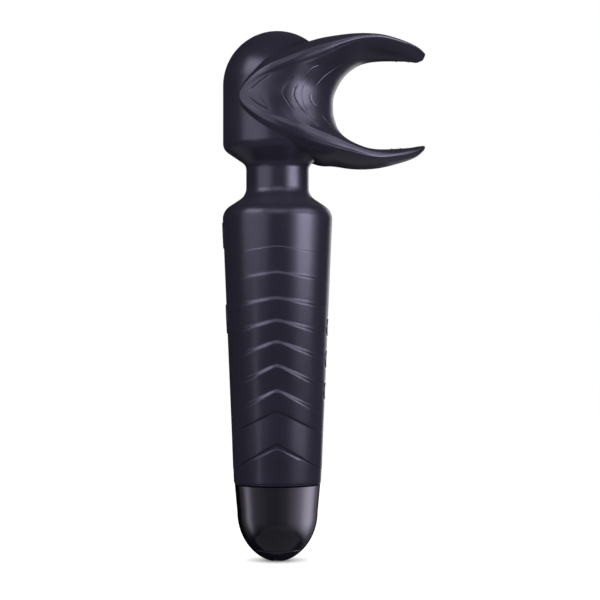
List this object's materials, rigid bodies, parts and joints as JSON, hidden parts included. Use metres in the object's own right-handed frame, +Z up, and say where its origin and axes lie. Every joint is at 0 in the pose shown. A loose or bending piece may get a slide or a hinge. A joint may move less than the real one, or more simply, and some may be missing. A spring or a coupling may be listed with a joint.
{
  "type": "handheld wand massager",
  "caption": "Silicone-covered wand massager: tapered handle with push buttons, glossy foot cap, flexible neck and a round head carrying a U-shaped cradle.",
  "frame": {"origin": "middle of the small flat foot under the end cap, on the wand's axis", "axes": "+Z up the wand to the top of the head, +X the side the cradle opens to and the buttons face, Y across"},
  "size_m": [0.0802, 0.0464, 0.2097],
  "materials": {
    "silicone": "matte silicone with a faint violet cast",
    "cap_gloss": "high gloss",
    "insert_gloss": "high gloss",
    "button_gloss": "high gloss",
    "inner_plastic": "fine moulded texture",
    "fastener_steel": "zinc plated",
    "spring_steel": "oiled wire",
    "motor_steel": "plated can",
    "lamination_steel": "stacked laminations",
    "magnet": "ferrite",
    "weight_metal": "machined",
    "damper_rubber": "soft moulded",
    "cushion_foam": "closed-cell foam",
    "cell_sleeve": "shrink-sleeved can",
    "nickel": "nickel strip",
    "circuit_board": "solder mask",
    "chip": "moulded package",
    "contact_gold": "gold plated",
    "lead_insulation": "stranded wire insulation"
  },
  "bodies": {
    "handle": {"grip_skin": "silicone", "chassis_front": "inner_plastic", "chassis_rear": "inner_plastic", "chassis_screws": "fastener_steel", "neck_lower_socket": "inner_plastic", "battery_cell": "cell_sleeve", "battery_cushions": "cushion_foam", "battery_tabs": "nickel", "control_board": "circuit_board", "board_chips": "chip", "tact_switches": "chip", "end_cap": "cap_gloss", "end_cap_seal": "damper_rubber", "base_insert": "insert_gloss", "charge_contacts": "contact_gold", "charge_magnets": "magnet", "charge_board": "circuit_board", "charge_leads": "lead_insulation"},
    "neck": {"neck_skin": "silicone", "neck_spring": "spring_steel", "motor_leads": "lead_insulation"},
    "head": {"head_skin": "silicone", "neck_upper_socket": "inner_plastic", "head_shell_lower": "inner_plastic", "head_shell_upper": "inner_plastic", "motor_cage": "inner_plastic", "motor_cage_screws": "fastener_steel", "motor_damper": "damper_rubber", "motor_can": "motor_steel", "motor_end_bell": "inner_plastic", "motor_magnets": "magnet"},
    "rotor": {"motor_shaft": "motor_steel", "motor_armature": "lamination_steel", "eccentric_weight": "weight_metal"},
    "upper_wing": {"upper_wing": "silicone"},
    "lower_wing": {"lower_wing": "silicone"},
    "button_up": {"button_up": "button_gloss"},
    "button_power": {"button_power": "button_gloss"},
    "button_down": {"button_down": "button_gloss"}
  },
  "joints": [
    {"name": "neck_pitch", "type": "hinge", "parent": "handle", "child": "neck", "pos_m": [0, 0, 0.148], "axis": [0, 1, 0], "range_deg": [-15, 15], "stiffness_Nm_per_rad": 2, "deforming": ["neck_skin", "neck_spring"]},
    {"name": "neck_sway", "type": "hinge", "parent": "neck", "child": "head", "pos_m": [0, 0, 0.1545], "axis": [1, 0, 0], "range_deg": [-15, 15], "stiffness_Nm_per_rad": 2, "deforming": ["motor_leads"]},
    {"name": "rotor_spin", "type": "hinge", "parent": "head", "child": "rotor", "pos_m": [0, 0, 0.198], "axis": [0, 0, 1], "continuous": true},
    {"name": "upper_wing_flex", "type": "hinge", "parent": "head", "child": "upper_wing", "pos_m": [0.027, 0, 0.2014], "axis": [0, -1, 0], "range_deg": [-4, 12], "stiffness_Nm_per_rad": 0.8},
    {"name": "lower_wing_flex", "type": "hinge", "parent": "head", "child": "lower_wing", "pos_m": [0.027, 0, 0.1619], "axis": [0, 1, 0], "range_deg": [-4, 12], "stiffness_Nm_per_rad": 0.8},
    {"name": "button_up_press", "type": "slide", "parent": "handle", "child": "button_up", "axis": [-1, 0, 0], "range_m": [0, 0.0005], "stiffness_N_per_m": 600, "springref_m": -0.0004},
    {"name": "button_power_press", "type": "slide", "parent": "handle", "child": "button_power", "axis": [-1, 0, 0], "range_m": [0, 0.0005], "stiffness_N_per_m": 600, "springref_m": -0.0004},
    {"name": "button_down_press", "type": "slide", "parent": "handle", "child": "button_down", "axis": [-1, 0, 0], "range_m": [0, 0.0005], "stiffness_N_per_m": 600, "springref_m": -0.0004}
  ]
}
